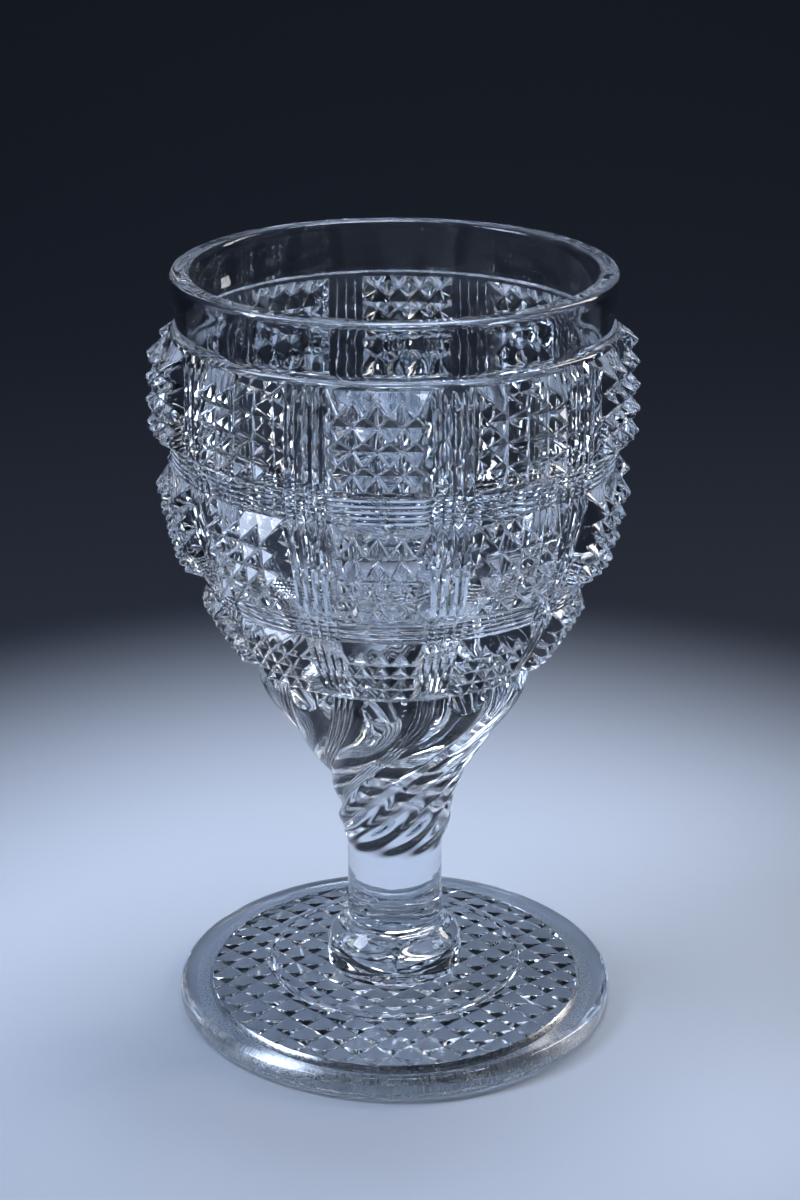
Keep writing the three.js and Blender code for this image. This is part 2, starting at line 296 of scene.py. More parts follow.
def scratches(tree, place, turn):
    """Fine hair scratches in patches: 1 where there is one."""
    along, across = 1 / (SCRATCH_LENGTH * MM), 1 / (SCRATCH_SPACING * MM)
    laid = add(
        tree,
        "ShaderNodeMapping",
        {"Vector": place, "Rotation": (0.0, 0.0, turn), "Scale": (along, across, along)},
    )
    cells = add(
        tree, "ShaderNodeTexVoronoi", {"Vector": laid, "Scale": 1.0}, feature="DISTANCE_TO_EDGE"
    )
    hair = add(tree, MATH, [cells, SCRATCH_HALF], operation="LESS_THAN")
    patch = add(tree, NOISE, {"Vector": place, "Scale": 1 / (SCRATCH_PATCH * MM), "Detail": 1.0})
    some = add(tree, MATH, [patch, SCRATCH_FROM], operation="GREATER_THAN")
    return add(tree, MATH, [hair, some], operation="MULTIPLY")


def grit(tree, place):
    """The grain of ground glass, up to 1."""
    grain = add(tree, NOISE, {"Vector": place, "Scale": 1 / (GRIT_GRAIN * MM), "Detail": 4.0})
    return add(
        tree,
        RANGE,
        {"Value": grain, "From Min": GRIT_FROM, "From Max": GRIT_FULL, "To Min": GRIT_LEAST},
    )


def foot_wear(tree, place):
    """The ring that meets the table is ground grey, and the edge round it is scratched."""
    spot = add(tree, SPLIT, [place]).outputs
    flat = add(tree, JOIN, [spot["X"], spot["Y"], 0.0])
    radius = add(tree, VECTOR, [flat], operation="LENGTH").outputs["Value"]
    inner, outer = REST_IN_R * MM, (REST_IN_R + REST_W) * MM
    ring = None
    for value, none, full in (
        (radius, inner - REST_FADE_IN * MM, inner),
        (radius, outer + REST_FADE_OUT * MM, outer),
        (spot["Z"], REST_WORN_HIGH * MM, REST_WORN_LOW * MM),
    ):
        share = add(tree, RANGE, {"Value": value, "From Min": none, "From Max": full})
        ring = add(tree, MATH, [ring, share], operation="MULTIPLY") if ring else share
    ground = add(tree, MATH, [ring, grit(tree, place)], operation="MULTIPLY")
    dulled = add(tree, MATH, [ground, REST_DULL], operation="MULTIPLY")
    both_ways = [scratches(tree, place, turn) for turn in EDGE_SCRATCH_TURNS]
    hairs = add(tree, MATH, both_ways, operation="MAXIMUM")
    edge = add(
        tree,
        RANGE,
        {"Value": radius, "From Min": inner, "From Max": outer, "To Max": EDGE_DULL},
    )
    marked = add(tree, MATH, [hairs, edge], operation="MULTIPLY")
    return add(tree, MATH, [dulled, marked], operation="MAXIMUM")


def bowl_wear(tree, place):
    """The lip is scratched a little by use, and the tips of the studs are dulled."""
    height = add(tree, SPLIT, [place]).outputs["Z"]
    worn_from, lip_top = (LIP_Z - LIP_WORN) * MM, LIP_Z * MM
    lip = add(
        tree,
        RANGE,
        {"Value": height, "From Min": worn_from, "From Max": lip_top, "To Max": LIP_DULL},
    )
    hairs = add(tree, MATH, [scratches(tree, place, LIP_SCRATCH_TURN), lip], operation="MULTIPLY")
    relief = add(tree, "ShaderNodeAttribute", attribute_name="relief").outputs["Fac"]
    worn_from, tip_top = (STUD_TIP - TIP_WORN) * MM, STUD_TIP * MM
    tip = add(
        tree,
        RANGE,
        {"Value": relief, "From Min": worn_from, "From Max": tip_top, "To Max": TIP_DULL},
    )
    rubbed = add(tree, MATH, [tip, grit(tree, place)], operation="MULTIPLY")
    return add(tree, MATH, [hairs, rubbed], operation="MAXIMUM")


def fused_seam():
    """Where two gathers were joined hot: glass on both sides, so light goes straight on."""
    material = bpy.data.materials.new("fused_crystal_seam")
    tree = bare_tree(material)
    clear = add(tree, "ShaderNodeBsdfTransparent")
    add(tree, "ShaderNodeOutputMaterial", {"Surface": clear})
    return material


# Node trees

def new_tree(name, sizes, lines=()):
    """A tree and its inputs: the templates it reads, its sizes and what every piece needs."""
    tree = bpy.data.node_groups.new(name, "GeometryNodeTree")
    inputs = dict.fromkeys(("Around", "Section", *lines), "Object")
    inputs.update(dict.fromkeys((*sizes, "Wave Height", "Wave Length", "Crease"), "Float"))
    inputs.update(dict.fromkeys(("Glass", "Seam"), "Material"))
    for label, kind in inputs.items():
        tree.interface.new_socket(label, in_out="INPUT", socket_type="NodeSocket" + kind)
    tree.interface.new_socket("Glass body", in_out="OUTPUT", socket_type="NodeSocketGeometry")
    return tree, add(tree, "NodeGroupInput").outputs


def finish_glass(tree, sizes, body):
    """Hand-made waviness, creases at sharp edges, glass, and the clear seam where it was joined."""
    place = add(tree, PLACE)
    height = add(tree, SPLIT, [place]).outputs["Z"]
    off_table = add(
        tree,
        RANGE,
        {"Value": height, "From Min": TABLE_FLAT * MM, "From Max": TABLE_CLEAR * MM},
        interpolation_type="SMOOTHSTEP",
    )
    density = add(tree, MATH, [1.0, sizes["Wave Length"]], operation="DIVIDE")
    noise = add(tree, NOISE, {"Vector": place, "Scale": density, "Detail": 1.0})
    swing = add(tree, VECTOR, [noise.outputs["Color"], (0.5, 0.5, 0.5)], operation="SUBTRACT")
    reach = add(tree, MATH, [sizes["Wave Height"], off_table], operation="MULTIPLY")
    wave = add(tree, VECTOR, {"Vector": swing, "Scale": reach}, operation="SCALE")
    waved = add(tree, "GeometryNodeSetPosition", {"Geometry": body, "Offset": wave})
    smooth = add(tree, "GeometryNodeSetShadeSmooth", {"Geometry": waved})
    bend = add(tree, EDGE_ANGLE).outputs["Unsigned Angle"]
    sharp = add(tree, COMPARE, [bend, sizes["Crease"]], operation="GREATER_THAN")
    rounded = add(tree, TAG, {"Name": "bevel_weight_edge"}, data_type="FLOAT")
    crease = add(tree, COMPARE, [sharp, rounded], operation="GREATER_THAN")
    creased = add(
        tree,
        "GeometryNodeSetShadeSmooth",
        {"Geometry": smooth, "Selection": crease, "Shade Smooth": False},
        domain="EDGE",
    )
    real = add(tree, "GeometryNodeRealizeInstances", [creased])
    glass = add(tree, "GeometryNodeSetMaterial", {"Geometry": real, "Material": sizes["Glass"]})
    mark = add(tree, TAG, {"Name": "seam"}, data_type="FLOAT")
    joined = add(tree, COMPARE, [mark, SEAM_SURE], operation="GREATER_THAN")
    seam = add(
        tree,
        "GeometryNodeSetMaterial",
        {"Geometry": glass, "Selection": joined, "Material": sizes["Seam"]},
    )
    bare = add(tree, "GeometryNodeRemoveAttribute", {"Geometry": seam, "Name": "seam"})
    add(tree, "NodeGroupOutput", [bare])


def template_grid(tree, sizes):
    """A grid with a column for each point of the around line and a row for each of the section."""
    lines = [
        add(tree, "GeometryNodeObjectInfo", {"Object": sizes[label]}).outputs["Geometry"]
        for label in ("Around", "Section")
    ]
    columns, rows = (
        add(tree, "GeometryNodeAttributeDomainSize", [line]).outputs["Point Count"]
        for line in lines
    )
    grid = add(tree, "GeometryNodeMeshGrid", {"Vertices X": columns, "Vertices Y": rows})
    index = add(tree, "GeometryNodeInputIndex")
    column = add(tree, COUNT_MATH, [index, rows], operation="DIVIDE_FLOOR")
    row = add(tree, COUNT_MATH, [index, rows], operation="MODULO")
    return lines, grid, column, row


def read(tree, line, index, tag=None, kind="FLOAT_VECTOR"):
    """The place of a numbered template point, or its tag if one is named. A vector is split."""
    value = add(tree, TAG, {"Name": tag}, data_type=kind) if tag else add(tree, PLACE)
    sample = {"Geometry": line, "Value": value, "Index": index}
    found = add(tree, "GeometryNodeSampleIndex", sample, data_type=kind)
    return found if kind == "FLOAT" else add(tree, SPLIT, [found]).outputs


def wrap(tree, grid, radius, height, turn, seam):
    """Lays the grid's points round the axis and closes the join and the two ends."""
    flat = add(tree, JOIN, [radius, 0.0, height])
    spun = add(
        tree, "ShaderNodeVectorRotate", {"Vector": flat, "Angle": turn}, rotation_type="Z_AXIS"
    )
    marked = add(tree, STORE, {"Geometry": grid, "Name": "seam", "Value": seam}, data_type="FLOAT")
    placed = add(tree, "GeometryNodeSetPosition", {"Geometry": marked, "Position": spun})
    return add(tree, "GeometryNodeMergeByDistance", {"Geometry": placed, "Distance": WELD * MM})


def pressed_skin_tree():
    """A turned body whose relief is the lower of two templates, round it and up its section."""
    tree, sizes = new_tree("pressed_skin", ("Groove", "Hip Climb"))
    lines, grid, column, row = template_grid(tree, sizes)
    around = read(tree, lines[0], column)
    section = read(tree, lines[1], row)
    lift = read(tree, lines[1], row, "lift")
    seam = read(tree, lines[1], row, "seam", "FLOAT")
    ease = read(tree, lines[1], row, "ease", "FLOAT")
    relief = add(tree, MATH, [around["Y"], section["Y"]], operation="MINIMUM")
    # Where a row is eased, its studs stand less high over their grooves.
    above = add(tree, MATH, [relief, sizes["Groove"]], operation="SUBTRACT")
    over = add(tree, MATH, [above, 0.0], operation="MAXIMUM")
    less = add(tree, MATH, [over, ease], operation="MULTIPLY")
    eased = add(tree, MATH, [relief, less], operation="SUBTRACT")
    out = add(tree, MATH, [lift["X"], eased, section["X"]], operation="MULTIPLY_ADD")
    height = add(tree, MATH, [lift["Z"], eased, section["Z"]], operation="MULTIPLY_ADD")
    seated = add(
        tree, MIX, {"Factor": lift["Y"], "A": out, "B": around["Z"]}, data_type="FLOAT"
    )
    kept = add(
        tree, STORE, {"Geometry": grid, "Name": "relief", "Value": relief}, data_type="FLOAT"
    )
    body = wrap(tree, kept, seated, height, around["X"], seam)
    faced = add(tree, "GeometryNodeTriangulate", [body], quad_method="LONGEST_DIAGONAL")
    # The hips of the studs climb from groove to tip. They are marked, to be rounded afterwards.
    ends = add(tree, "GeometryNodeInputMeshEdgeVertices").outputs
    tag = add(tree, TAG, {"Name": "relief"}, data_type="FLOAT")
    levels = []
    for end in ("Vertex Index 1", "Vertex Index 2"):
        at_end = {"Value": tag, "Index": ends[end]}
        levels.append(add(tree, "GeometryNodeFieldAtIndex", at_end, domain="POINT"))
    climb = add(tree, MATH, [add(tree, MATH, levels, operation="SUBTRACT")], operation="ABSOLUTE")
    steep = add(tree, COMPARE, [climb, sizes["Hip Climb"]], operation="GREATER_THAN")
    bend = add(tree, EDGE_ANGLE).outputs["Unsigned Angle"]
    sharp = add(tree, COMPARE, [bend, sizes["Crease"]], operation="GREATER_THAN")
    hip = add(tree, "FunctionNodeBooleanMath", [steep, sharp], operation="AND")
    marked = add(
        tree,
        STORE,
        {"Geometry": faced, "Name": "bevel_weight_edge", "Value": hip},
        data_type="FLOAT",
        domain="EDGE",
    )
    finish_glass(tree, sizes, marked)
    return tree


def twisted_stem_tree():
    """Lobes and ribs that turn more and more on their way down, with a hollow over each lobe."""
    tree, sizes = new_tree(
        "twisted_stem",
        (
            "Front",
            "Top",
            "Twist End",
            "Flute Full",
            "Twist",
            "Twist Growth",
            "Flute Dip",
            "Ribs Start",
            "Ribs End",
            "Scallop Radius",
            "Scallop Centre",
            "Scallop Turn",
            "Scallop Edge",
        ),
    )
    lines, grid, column, row = template_grid(tree, sizes)
    around = read(tree, lines[0], column)
    section = read(tree, lines[1], row)
    seam = read(tree, lines[1], row, "seam", "FLOAT")
    crest, height = section["X"], section["Z"]
    sunk = add(
        tree, RANGE, {"Value": height, "From Min": sizes["Top"], "From Max": sizes["Twist End"]}
    )
    growth = add(tree, MATH, [sunk, sizes["Twist Growth"]], operation="POWER")
    turned = add(tree, MATH, [growth, sizes["Twist"]], operation="MULTIPLY")
    turn = add(tree, MATH, [around["X"], turned], operation="SUBTRACT")
    depth = add(
        tree,
        RANGE,
        {
            "Value": height,
            "From Min": sizes["Twist End"],
            "From Max": sizes["Flute Full"],
            "To Max": sizes["Flute Dip"],
        },
        interpolation_type="SMOOTHSTEP",
    )
    # The ribs of each flute draw together into one even wave on the way down.
    drawn = add(
        tree,
        RANGE,
        {"Value": sunk, "From Min": sizes["Ribs Start"], "From Max": sizes["Ribs End"]},
        interpolation_type="SMOOTHSTEP",
    )
    shape = add(
        tree, MIX, {"Factor": drawn, "A": around["Y"], "B": around["Z"]}, data_type="FLOAT"
    )
    dip = add(tree, MATH, [depth, shape], operation="MULTIPLY")
    fluted = add(tree, MATH, [crest, dip], operation="SUBTRACT")
    # The hollows: the near side of a ball, where the line out from the axis meets it.
    aside = add(tree, MATH, [turn, sizes["Scallop Turn"]], operation="PINGPONG")
    sine = add(tree, MATH, [aside], operation="SINE")
    cosine = add(tree, MATH, [aside], operation="COSINE")
    across = add(tree, MATH, [sine, sizes["Scallop Centre"]], operation="MULTIPLY")
    along = add(tree, MATH, [cosine, sizes["Scallop Centre"]], operation="MULTIPLY")
    below = add(tree, MATH, [sizes["Top"], height], operation="SUBTRACT")
    flat = add(tree, JOIN, [across, below, 0.0])
    off = add(tree, VECTOR, [flat], operation="LENGTH").outputs["Value"]
    squares = [
        add(tree, MATH, [side, side], operation="MULTIPLY")
        for side in (sizes["Scallop Radius"], off)
    ]
    left = add(tree, MATH, squares, operation="SUBTRACT")
    chord = add(tree, MATH, [add(tree, MATH, [left, 0.0], operation="MAXIMUM")], operation="SQRT")
    ball = add(tree, MATH, [along, chord], operation="SUBTRACT")
    outline = add(tree, MATH, [fluted, ball, sizes["Scallop Edge"]], operation="SMOOTH_MIN")
    met = add(tree, COMPARE, [left, 0.0], operation="GREATER_THAN")
    inside = add(tree, "GeometryNodeSwitch", [met, fluted, outline], input_type="FLOAT")
    on_axis = add(tree, COMPARE, [crest, ON_AXIS * MM], operation="LESS_THAN")
    radius = add(tree, "GeometryNodeSwitch", [on_axis, inside, 0.0], input_type="FLOAT")
    facing = add(tree, MATH, [turn, sizes["Front"]], operation="ADD")
    body = wrap(tree, grid, radius, height, facing, seam)
    finish_glass(tree, sizes, body)
    return tree


def foot_tree():
    """A turned disc joined with a plate of diamond points, cut round to fit the recess under it."""
    tree, sizes = new_tree(
        "pressed_foot", ("Plate Back", "Field Radius", "Field Turn"), lines=("Diamond Line",)
    )
    lines, grid, column, row = template_grid(tree, sizes)
    around = read(tree, lines[0], column)
    section = read(tree, lines[1], row)
    seam = read(tree, lines[1], row, "seam", "FLOAT")
    disc = wrap(tree, grid, section["X"], section["Z"], around["X"], seam)

    source = add(tree, "GeometryNodeObjectInfo", {"Object": sizes["Diamond Line"]})
    line = source.outputs["Geometry"]
    count = add(tree, "GeometryNodeAttributeDomainSize", [line]).outputs["Point Count"]
    last = add(tree, COUNT_MATH, [count, 1], operation="SUBTRACT")
    block = add(
        tree,
        "GeometryNodeMeshCube",
        {"Size": (1.0, 1.0, 1.0), "Vertices X": count, "Vertices Y": count, "Vertices Z": 2},
    )
    spot = add(tree, SPLIT, [add(tree, PLACE)]).outputs
    sides = []
    for side in ("X", "Y"):
        share = add(tree, MATH, [spot[side], 0.5], operation="ADD")
        step = add(tree, MATH, [share, last], operation="MULTIPLY")
        near = add(tree, MATH, [step], operation="ROUND")
        sides.append(read(tree, line, near))
    point = add(tree, MATH, [sides[0]["Z"], sides[1]["Z"]], operation="MAXIMUM")
    upper = add(tree, COMPARE, [spot["Z"], 0.0], operation="GREATER_THAN")
    level = add(
        tree, "GeometryNodeSwitch", [upper, point, sizes["Plate Back"]], input_type="FLOAT"
    )
    spread = add(tree, JOIN, [sides[0]["X"], sides[1]["X"], level])
    turned = add(
        tree,
        "ShaderNodeVectorRotate",
        {"Vector": spread, "Angle": sizes["Field Turn"]},
        rotation_type="Z_AXIS",
    )
    plate = add(tree, "GeometryNodeSetPosition", {"Geometry": block, "Position": turned})
    faced = add(tree, "GeometryNodeTriangulate", [plate], quad_method="LONGEST_DIAGONAL")
    cutter = add(
        tree,
        "GeometryNodeMeshCylinder",
        {"Vertices": FOOT_PARTS, "Radius": sizes["Field Radius"], "Depth": CUTTER_H * MM},
    )
    field = add(tree, "GeometryNodeMeshBoolean", operation="INTERSECT", solver="MANIFOLD")
    for solid in (faced, cutter):
        tree.links.new(solid.outputs["Mesh"], field.inputs["Mesh 2"])
    whole = add(tree, "GeometryNodeMeshBoolean", operation="UNION", solver="MANIFOLD")
    for solid in (disc, field):
        tree.links.new(solid.outputs[0], whole.inputs["Mesh 2"])
    finish_glass(tree, sizes, whole.outputs["Mesh"])
    return tree


# Templates that the trees read

def template(name, points, **tags):
    """Loose points, read by number, with one more value or vector per point for each tag."""
    mesh = bpy.data.meshes.new(name)
    mesh.from_pydata(points, [], [])
    for tag, values in tags.items():
        vectors = isinstance(values[0], tuple)
        layer = mesh.attributes.new(tag, "FLOAT_VECTOR" if vectors else "FLOAT", "POINT")
        for item, value in zip(layer.data, values):
            setattr(item, "vector" if vectors else "value", value)
    line = bpy.data.objects.new(name, mesh)
    scene.collection.objects.link(line)
    return line


def grow(name, tree, round_hips=0.0, **sizes):
    """Runs a tree, rounds the edges that it marked and keeps the result as a plain mesh.

    The piece stays at the origin, and the templates are cleared away."""
    piece = bpy.data.objects.new(name, bpy.data.meshes.new(name))
    scene.collection.objects.link(piece)
    modifier = piece.modifiers.new("build", "NODES")
    modifier.node_group = tree
    for socket in tree.interface.items_tree:
        if socket.in_out == "INPUT":
            modifier[socket.identifier] = sizes[socket.name.replace(" ", "_").lower()]
    if round_hips:
        hips = piece.modifiers.new("hips", "BEVEL")
        hips.limit_method = "WEIGHT"
        hips.width = round_hips
        hips.segments = HIP_ROWS
        hips.use_clamp_overlap = False
        hips.harden_normals = True
    graph = bpy.context.evaluated_depsgraph_get()
    made = bpy.data.meshes.new_from_object(piece.evaluated_get(graph))
    piece.modifiers.clear()
    piece.data = made
    made.name = name
    for number in reversed(range(len(made.materials))):
        if made.materials[number] is None:
            made.materials.pop(index=number)
    for value in sizes.values():
        if isinstance(value, bpy.types.Object):
            bpy.data.objects.remove(value)
    return piece


def bezier(points, parts):
    """Points of a cubic curve after its first one."""
    curve = []
    for i in range(1, parts + 1):
        t = i / parts
        weights = ((1 - t) ** 3, 3 * (1 - t) ** 2 * t, 3 * (1 - t) * t * t, t**3)
        curve.append(tuple(sum(w * p[axis] for w, p in zip(weights, points)) for axis in (0, 1)))
    return curve


def quadratic(a, b, c, parts):
    """The same for a curve from a to c that leans towards b."""
    handles = [[mix(end[axis], b[axis], 2 / 3) for axis in (0, 1)] for end in (a, c)]
    return bezier([a, *handles, c], parts)


def straight(a, b, parts):
    return [(mix(a[0], b[0], i / parts), mix(a[1], b[1], i / parts)) for i in range(1, parts + 1)]


def plain_section(name, points, seams=()):
    """A section of [radius, height] points with no relief.

    Seams are the numbers of points that bound a seam."""
    return template(
        name,
        [(r * MM, 0.0, z * MM) for r, z in points],
        lift=[(0.0, 0.0, 0.0)] * len(points),
        seam=[1.0 if i in seams else 0.0 for i in range(len(points))],
    )


def plain_round(name, parts):
    return template(name, [(math.tau * i / parts, 0.0, 0.0) for i in range(parts + 1)])


# Bowl

def stud_line(start, end, first_slope, last_slope):
    """[place, relief] along one side of a panel.

    The outer facets reach the wall, the grooves between don't."""
    pitch = (end - start - first_slope - last_slope) / STUDS
    tips = [start + first_slope + (i + 0.5) * pitch for i in range(STUDS)]
    level = STUD_GROOVE / STUD_TIP
    line = [(start, 0.0), (mix(start, tips[0], level), STUD_GROOVE)]
    for tip in tips:
        if tip > tips[0]:
            line.append((tip - pitch / 2, STUD_GROOVE))
        line.append((tip, STUD_TIP))
    return [*line, (mix(end, tips[-1], level), STUD_GROOVE), (end, 0.0)]


def reed_line(start, end, count):
    """[place, relief] across a band of rounded reeds."""
    shape = ((0.0, 0.0), (0.18, 0.66), (0.5, 1.0), (0.82, 0.66))
    wide = (end - start) / count
    line = [(start + (i + at) * wide, rise * REED_H) for i in range(count) for at, rise in shape]
    return [*line, (end, 0.0)]


def from_lobe(turn):
    """Degrees from the middle of the nearest lobe."""
    return abs((turn + PERIOD / 2) % PERIOD - PERIOD / 2)


def rib_dip(turn):
    """Share of the flute's depth at a turn: a round lobe, then four ribs in the flute."""
    aside = from_lobe(turn)
    if aside <= HALF_PANEL:
        return (aside / HALF_PANEL) ** LOBE_POWER
    across = (aside - HALF_PANEL) / (PERIOD - PANEL_TURN)
    return 1 - RIB_RISE * abs(math.sin(math.pi * UPRIGHT_REEDS * across))


def seat_radius(turn):
    """Outline of the stem where it meets the bowl."""
    aside = math.radians(from_lobe(turn))
    lobe = BASE_R - BASE_SEAT_IN - FLUTE_DIP * rib_dip(turn)
    left = SCALLOP_R**2 - (SCALLOP_CENTRE * math.sin(aside)) ** 2
    if left <= 0:
        return lobe
    ball = SCALLOP_CENTRE * math.cos(aside) - math.sqrt(left)
    # The same smooth minimum as the stem's own node tree uses.
    near = max(0, 1 - abs(lobe - ball) / SCALLOP_EDGE)
    return min(lobe, ball) - near**3 * SCALLOP_EDGE / 6


def bowl_around():
    period = stud_line(-HALF_PANEL, HALF_PANEL, SIDE_SLOPE_TURN, SIDE_SLOPE_TURN)[:-1]
    period += reed_line(HALF_PANEL, PERIOD - HALF_PANEL, UPRIGHT_REEDS)[:-1]
    turns = [(turn + i * PERIOD, relief) for i in range(COLUMNS) for turn, relief in period]
    turns.append((turns[0][0] + 360, turns[0][1]))
    points = [
        (math.radians(turn + FRONT), relief * MM, seat_radius(turn) * MM) for turn, relief in turns
    ]
    return template("bowl_around", points)


def on_wall(z):
    """Radius of the wall under the relief, and which way the relief stands out of it."""
    rise = (z - BELLY_Z) / WALL_RISE
    r = BELLY_R * math.sqrt(1 - rise * rise)
    slope = -BELLY_R * BELLY_R * (z - BELLY_Z) / (WALL_RISE * WALL_RISE * r)
    tilt = math.hypot(1, slope)
    return r, (1 / tilt, 0.0, -slope / tilt)


def bowl_section():
    """Rows of radius, height, relief, the way the relief stands out, and seam."""
    low_end = LOW_Z + LOW_ROW_H
    mid_end = MID_Z + ROW_H
    flat = (0.0, 0.0, 0.0)
    rows = [(0.0, BOWL_Z, 0.0, flat, 1.0), (BASE_R, BOWL_Z, 0.0, (0.0, 1.0, 0.0), 1.0)]
    # The rounded ledge between the seam and the low row.
    ledge = [(BASE_R - 0.12, BOWL_Z), (BASE_R + 0.1, BOWL_Z + 0.2), (BASE_R + 0.95, LOW_Z - 0.3)]
    rows += [(r, z, 0.0, flat, 0.0) for r, z in ledge]
    climb = stud_line(LOW_Z, low_end, FOOT_SLOPE, LOW_HEAD_SLOPE)[:-1]
    climb += reed_line(low_end, MID_Z, BAND_REEDS)[:-1]
    climb += stud_line(MID_Z, mid_end, FOOT_SLOPE, HEAD_SLOPE)[:-1]
    climb += reed_line(mid_end, TOP_Z, BAND_REEDS)[:-1]
    climb += stud_line(TOP_Z, LEDGE_Z, FOOT_SLOPE, HEAD_SLOPE)
    for z, relief in climb:
        r, lift = on_wall(z)
        share = mix(LOW_RELIEF, 1, min(1, max(0, (z - LOW_Z) / LOW_ROW_H)))
        rows.append((r, z, relief, tuple(share * part for part in lift), 0.0))
    # Over the ledge, up the plain rim, round the lip and down the plain inside.
    wall = on_wall(LEDGE_Z)[0]
    neck = RIM_R - RIM_FOOT_IN
    inner = RIM_R - RIM_WALL
    floor = BOWL_Z + FLOOR_T
    lip_foot = LIP_Z - LIP_ROUND
    rim_start = (neck + 0.1, RIM_Z + 1.6)
    plain = quadratic((wall, LEDGE_Z), (wall, RIM_Z - 0.2), (neck, RIM_Z), parts=5)
    plain += quadratic((neck, RIM_Z), (neck - 0.1, RIM_Z + 0.6), rim_start, parts=4)
    plain += straight(plain[-1], (RIM_R, lip_foot), parts=4)
    plain += quadratic((RIM_R, lip_foot), (RIM_R, LIP_Z), (RIM_R - LIP_ROUND, LIP_Z), parts=6)
    plain += straight(plain[-1], (inner + LIP_ROUND, LIP_Z), parts=2)
    plain += quadratic((inner + LIP_ROUND, LIP_Z), (inner, LIP_Z), (inner, lip_foot), parts=6)
    plain += straight(plain[-1], (inner, BELLY_Z), parts=6)
    wall_handle = (inner - 0.3, mix(floor, BELLY_Z, 0.4))
    floor_handle = (inner * 0.75, floor)
    plain += bezier([plain[-1], wall_handle, floor_handle, (0.0, floor)], parts=24)
    rows += [(r, z, 0.0, flat, 0.0) for r, z in plain]
    return template(
        "bowl_section",
        [(r * MM, relief * MM, z * MM) for r, z, relief, _, _ in rows],
        lift=[row[3] for row in rows],
        seam=[row[4] for row in rows],
        ease=[LOW_EASE if LOW_Z < row[1] < low_end else 0.0 for row in rows],
    )


# Stem

def stem_around():
    """Turn, share of the dip where the flutes have ribs, and where they are one even wave."""
    period = [mix(-HALF_PANEL, HALF_PANEL, i / LOBE_PARTS) for i in range(LOBE_PARTS)]
    period += [
        mix(HALF_PANEL, PERIOD - HALF_PANEL, i / FLUTE_PARTS) for i in range(FLUTE_PARTS)
    ]
    turns = [turn + column * PERIOD for column in range(COLUMNS) for turn in period]
    turns.append(turns[0] + 360)
    points = [
        (math.radians(turn), rib_dip(turn), (1 - math.cos(math.tau * turn / PERIOD)) / 2)
        for turn in turns
    ]
    return template("stem_around", points)


def stem_section():
    shoulder = BOWL_Z - STEM_H * SHOULDER_SHARE
    neck = TWIST_END_Z + STEM_H * NECK_SHARE
    seat = (BASE_R - BASE_SEAT_IN, BOWL_Z)
    taper = bezier(
        [
            (BASE_R, shoulder),
            (mix(NECK_R, BASE_R, 0.64), mix(neck, shoulder, 0.69)),
            (NECK_R + 0.6, mix(neck, shoulder, 0.34)),
            (NECK_R, neck),
        ],
        parts=70,
    )
    # Fire polish has rounded the shoulder off.
    round_from = (mix(BASE_R, seat[0], SHOULDER_ROUND), mix(shoulder, BOWL_Z, SHOULDER_ROUND))
    crest = straight(seat, round_from, parts=6)
    crest += quadratic(round_from, (BASE_R, shoulder), taper[SHOULDER_ROWS], parts=24)
    crest += taper[SHOULDER_ROWS + 1 :]
    crest += bezier(
        [
            (NECK_R, neck),
            (NECK_R, mix(neck, TWIST_END_Z, 0.5)),
            (STEM_R, mix(neck, TWIST_END_Z, 0.6)),
            (STEM_R, TWIST_END_Z),
        ],
        parts=20,
    )
    crest += straight((STEM_R, TWIST_END_Z), (STEM_R, STEM_Z), parts=10)
    points = [(0.0, STEM_Z), *reversed(crest), seat, (0.0, BOWL_Z)]
    last = len(points) - 1
    return plain_section("stem_section", points, seams=(0, 1, last - 1, last))


# Collar

def collar_section():
    shoulder = mix(COLLAR_Z, STEM_Z, COLLAR_DRUM)
    base = COLLAR_R - COLLAR_FOOT_IN
    points = [(0.0, COLLAR_Z), (base, COLLAR_Z)]
    points += straight((base, COLLAR_Z), (COLLAR_R, shoulder), parts=5)
    points += bezier(
        [
            (COLLAR_R, shoulder),
            (COLLAR_R, mix(shoulder, STEM_Z, 0.55)),
            (mix(STEM_R, COLLAR_R, 0.1), mix(shoulder, STEM_Z, 0.6)),
            (STEM_R, STEM_Z),
        ],
        parts=24,
    )
    points.append((0.0, STEM_Z))
    last = len(points) - 1
    return plain_section("collar_section", points, seams=(0, 1, last - 1, last))


# Foot

# The mould's ring is two fine ridges side by side, on the step up to the flat middle. Each point
# gives the way out from the ring's radius, the share of the step and that of the ring's height.
MOULD_RIDGES = (
    (0.68, 0.1, 0.1),
    (0.52, 0.3, 0.7),
    (0.38, 0.4, 0.9),
    (0.22, 0.5, 0.6),
    (0.02, 0.6, 0.15),
    (-0.18, 0.7, 0.2),
    (-0.36, 0.85, 0.45),
    (-0.5, 0.95, 0.5),
    (-0.66, 1.0, 0.3),
    (-MOULD_RING_W, 1.0, 0.0),
)


